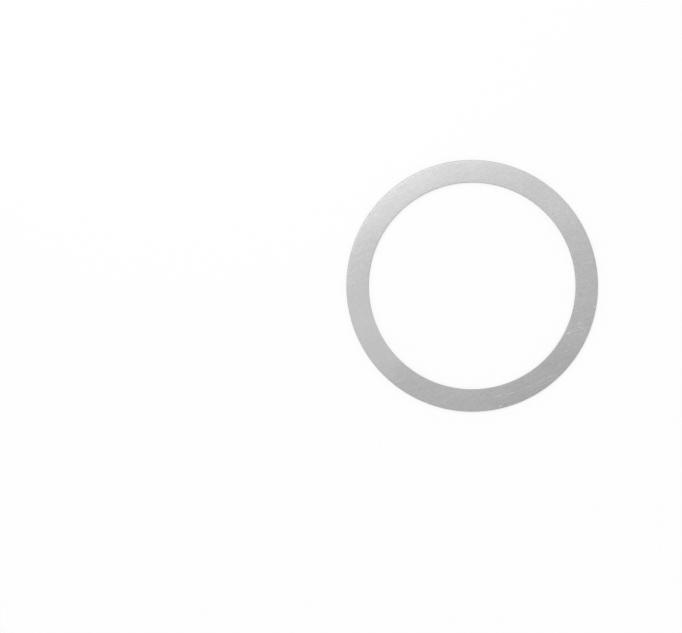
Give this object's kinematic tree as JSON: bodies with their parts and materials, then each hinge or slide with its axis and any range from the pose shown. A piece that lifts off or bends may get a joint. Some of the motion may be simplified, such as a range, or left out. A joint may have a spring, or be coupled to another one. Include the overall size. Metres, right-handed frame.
{
  "type": "magnetic phone mount plate",
  "caption": "Thin flat steel ring with an adhesive back under a peel-off paper liner, stuck on a phone or its case so that a magnetic mount can hold it.",
  "frame": {"origin": "centre of the ring, on the underside of the release liner, which is the surface the plate lies on", "axes": "+Z is the ring's axis and points out of the brushed steel face; X and Y lie in the plane of the ring"},
  "size_m": [0.056, 0.056, 0.0007],
  "materials": {
    "brushed_stainless_steel": "satin",
    "double_sided_tape": "satin",
    "silicone_coated_paper": "satin"
  },
  "bodies": {
    "root": {"steel_ring": "brushed_stainless_steel", "adhesive_tape": "double_sided_tape", "release_liner": "silicone_coated_paper"}
  },
  "joints": []
}
